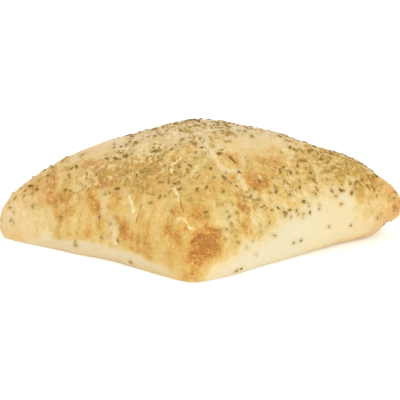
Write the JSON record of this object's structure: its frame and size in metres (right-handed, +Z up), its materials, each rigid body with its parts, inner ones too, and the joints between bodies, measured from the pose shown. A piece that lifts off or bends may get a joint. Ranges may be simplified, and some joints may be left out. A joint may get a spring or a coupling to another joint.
{
  "type": "herb-topped bread roll",
  "caption": "Diamond-shaped, puffy bread roll with a flat base, a domed golden crust, a pale side wall and dried herb flakes baked onto its top.",
  "frame": {"origin": "middle of the flat base, on the surface that the roll rests on", "axes": "+X towards the browned right tip, along the long diagonal; +Y towards the back corner, away from the viewer; +Z up"},
  "size_m": [0.1507, 0.1045, 0.0449],
  "materials": {
    "crust": null,
    "herb": null
  },
  "bodies": {
    "root": {"roll": "crust"}
  },
  "joints": []
}
